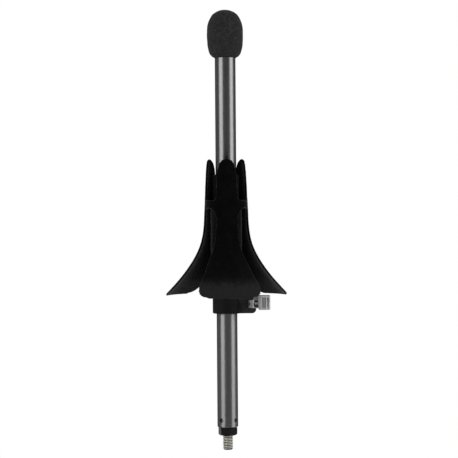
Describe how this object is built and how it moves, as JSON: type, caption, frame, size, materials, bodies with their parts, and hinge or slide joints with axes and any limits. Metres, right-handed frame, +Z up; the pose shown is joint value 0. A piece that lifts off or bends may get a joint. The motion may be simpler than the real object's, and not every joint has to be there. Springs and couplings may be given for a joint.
{
  "type": "trumpet stand bell peg",
  "caption": "Screw-in trumpet stand peg: straight post with a foam tip, a flocked bell cone that slides and turns on it, a quick-release clamp and a threaded foot.",
  "frame": {"origin": "on the post's axis, in the plane of the lock nut's underside, which seats on the base", "axes": "+Z up the post towards the foam tip; the front petal of the cone points to -Y; the clamp's ears and closed lever point to +X"},
  "size_m": [0.0946, 0.087, 0.3396],
  "materials": {
    "post_paint": "satin graphite lacquer",
    "zinc": "bright zinc plated",
    "black_steel": "gloss black",
    "flock": "black flocked",
    "black_nylon": "fine texture",
    "natural_nylon": "smooth",
    "plug_plastic": "smooth",
    "foam": "closed-cell foam",
    "lever_cast": "satin die-cast"
  },
  "bodies": {
    "post": {"post_tube": "post_paint", "tube_top_plug": "plug_plastic", "foam_tip": "foam", "threaded_insert": "zinc", "threaded_stud": "zinc", "hex_lock_nut": "black_steel"},
    "liner": {"split_liner": "natural_nylon"},
    "carriage": {"petal_cone": "flock", "clamp_carrier": "black_nylon", "retaining_ring": "black_steel", "tension_bolt": "zinc", "cam_washer": "zinc", "tension_nut": "zinc"},
    "lever": {"cam_lever": "lever_cast", "lever_pivot_pin": "zinc"}
  },
  "joints": [
    {"name": "cone_height", "type": "slide", "parent": "post", "child": "liner", "axis": [0, 0, 1], "range_m": [-0.08, 0.075]},
    {"name": "cone_turn", "type": "hinge", "parent": "liner", "child": "carriage", "pos_m": [0, 0, 0.1045], "axis": [0, 0, 1], "continuous": true},
    {"name": "lever_swing", "type": "hinge", "parent": "carriage", "child": "lever", "pos_m": [0.0189, -0.00825, 0.10175], "axis": [0, 0, -1], "range_deg": [0, 100]}
  ]
}
